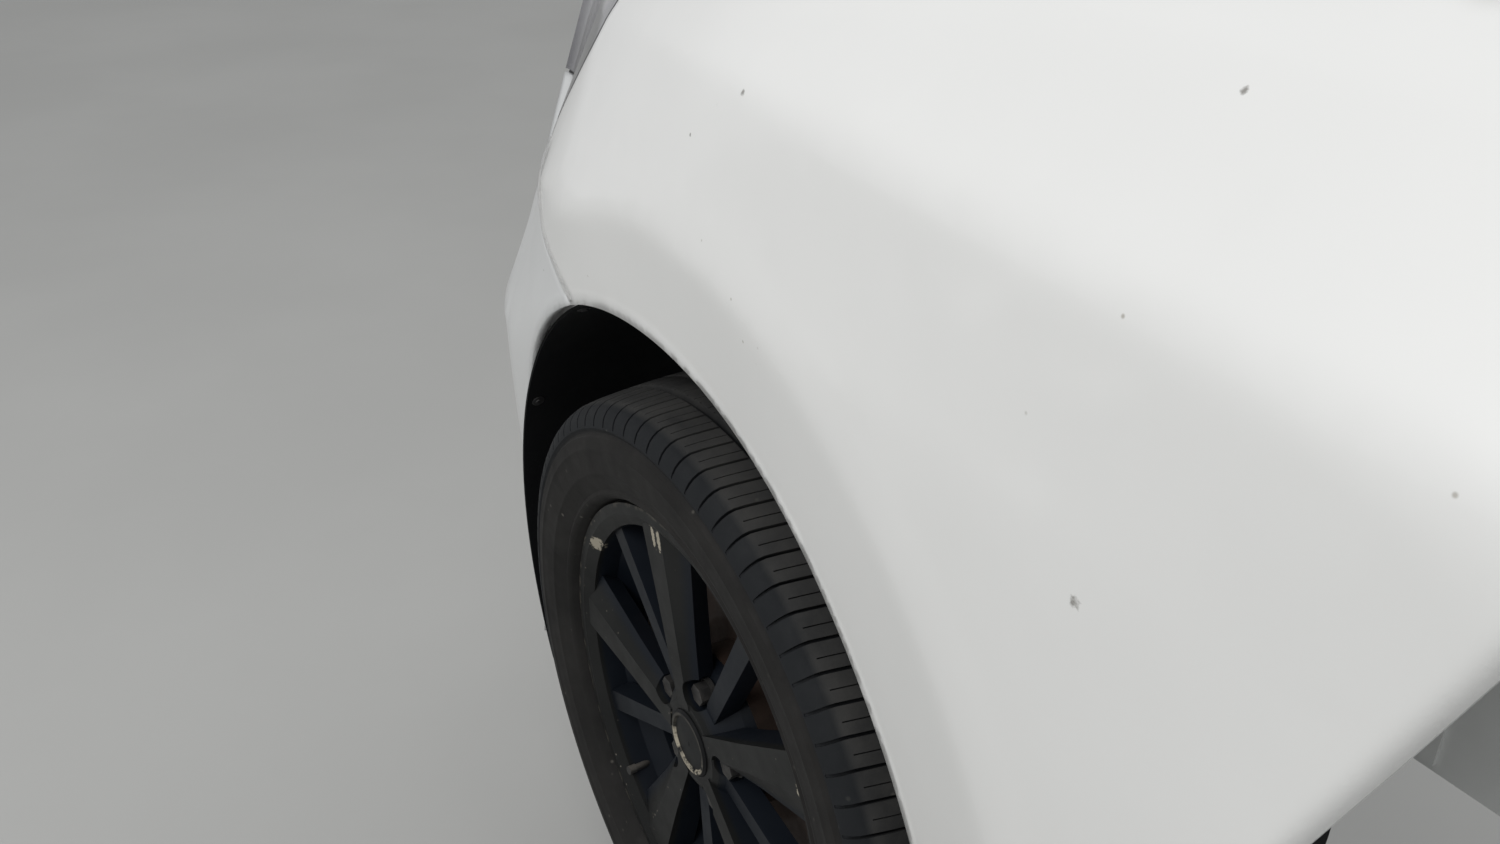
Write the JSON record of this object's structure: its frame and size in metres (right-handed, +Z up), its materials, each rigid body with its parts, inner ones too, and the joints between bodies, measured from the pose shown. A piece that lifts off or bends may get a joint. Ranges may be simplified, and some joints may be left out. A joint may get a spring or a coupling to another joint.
{
  "type": "car front corner",
  "caption": "Front left corner of a hatchback: wing, bumper corner, arch liner, strut, brake and steered wheel on its chassis leg.",
  "frame": {"origin": "middle of the chassis leg's rear flange face, where the corner is fixed to the car", "axes": "+X to the back of the car, +Y to its centre line, +Z up"},
  "size_m": [1.2647, 0.5209, 1.0377],
  "materials": {
    "white_paint": "gloss white body paint",
    "bumper_paint": "gloss white painted plastic, slightly greyer",
    "clear_lens": "clear hard-coated plastic",
    "black_plastic": "black moulded plastic",
    "chrome_plastic": "vapour-coated reflector",
    "liner_plastic": "black moulded plastic, dusty",
    "body_steel": "white primer and body paint, overspray",
    "black_steel": "black dipped steel",
    "rubber": "black rubber",
    "cast_iron": "cast iron with surface rust",
    "spring_steel": "black powder coat",
    "zinc_steel": "zinc-plated sheet, dulled",
    "pad_lining": "brake lining",
    "rusty_disc": "cast iron, film of rust",
    "wheel_paint": "satin anthracite paint",
    "tyre": "worn rubber with dust",
    "cap_plastic": "black cap with a worn silver ring",
    "bolt_steel": "dark plated steel",
    "shaft_steel": "black painted steel and rubber boot"
  },
  "bodies": {
    "corner": {"wing": "white_paint", "bumper_corner": "bumper_paint", "headlamp_lens": "clear_lens", "headlamp_housing": "black_plastic", "headlamp_reflectors": "chrome_plastic", "headlamp_carrier": "body_steel", "bumper_bracket": "black_plastic", "arch_liner": "liner_plastic", "inner_wing": "body_steel", "strut_tower": "body_steel", "wing_rail": "body_steel", "chassis_leg": "body_steel", "subframe": "black_steel", "lower_arm": "black_steel", "arm_bushes": "rubber", "top_mount": "rubber"},
    "knuckle": {"knuckle": "cast_iron", "strut": "black_steel", "lower_spring_seat": "black_steel", "upper_spring_seat": "black_steel", "coil_spring": "spring_steel", "dust_shield": "zinc_steel", "brake_caliper": "cast_iron", "brake_pads": "pad_lining", "caliper_bracket": "cast_iron"},
    "wheel": {"hub": "cast_iron", "joint_bell": "cast_iron", "brake_disc": "rusty_disc", "alloy_wheel": "wheel_paint", "tyre": "tyre", "centre_cap": "cap_plastic", "wheel_bolts": "bolt_steel"},
    "driveshaft": {"driveshaft": "shaft_steel"},
    "track_rod": {"track_rod": "black_steel"}
  },
  "joints": [
    {"name": "steer", "type": "hinge", "parent": "corner", "child": "knuckle", "pos_m": [-0.6, -0.255, -0.185], "axis": [0.0711, 0.2382, 0.9686], "range_deg": [-32, 38]},
    {"name": "wheel_spin", "type": "hinge", "parent": "knuckle", "child": "wheel", "pos_m": [-0.6, -0.325, -0.185], "axis": [0, -1, 0], "continuous": true},
    {"name": "shaft_spin", "type": "hinge", "parent": "corner", "child": "driveshaft", "pos_m": [-0.6, -0.255, -0.185], "axis": [0, -1, 0], "continuous": true},
    {"name": "track_rod_swing", "type": "hinge", "parent": "knuckle", "child": "track_rod", "pos_m": [-0.48, -0.28, -0.251], "axis": [0.0711, 0.2382, 0.9686], "range_deg": [-38, 32]}
  ],
  "couplings": [
    {"joint": "shaft_spin", "follows": "wheel_spin", "ratio": 1},
    {"joint": "track_rod_swing", "follows": "steer", "ratio": -1}
  ]
}
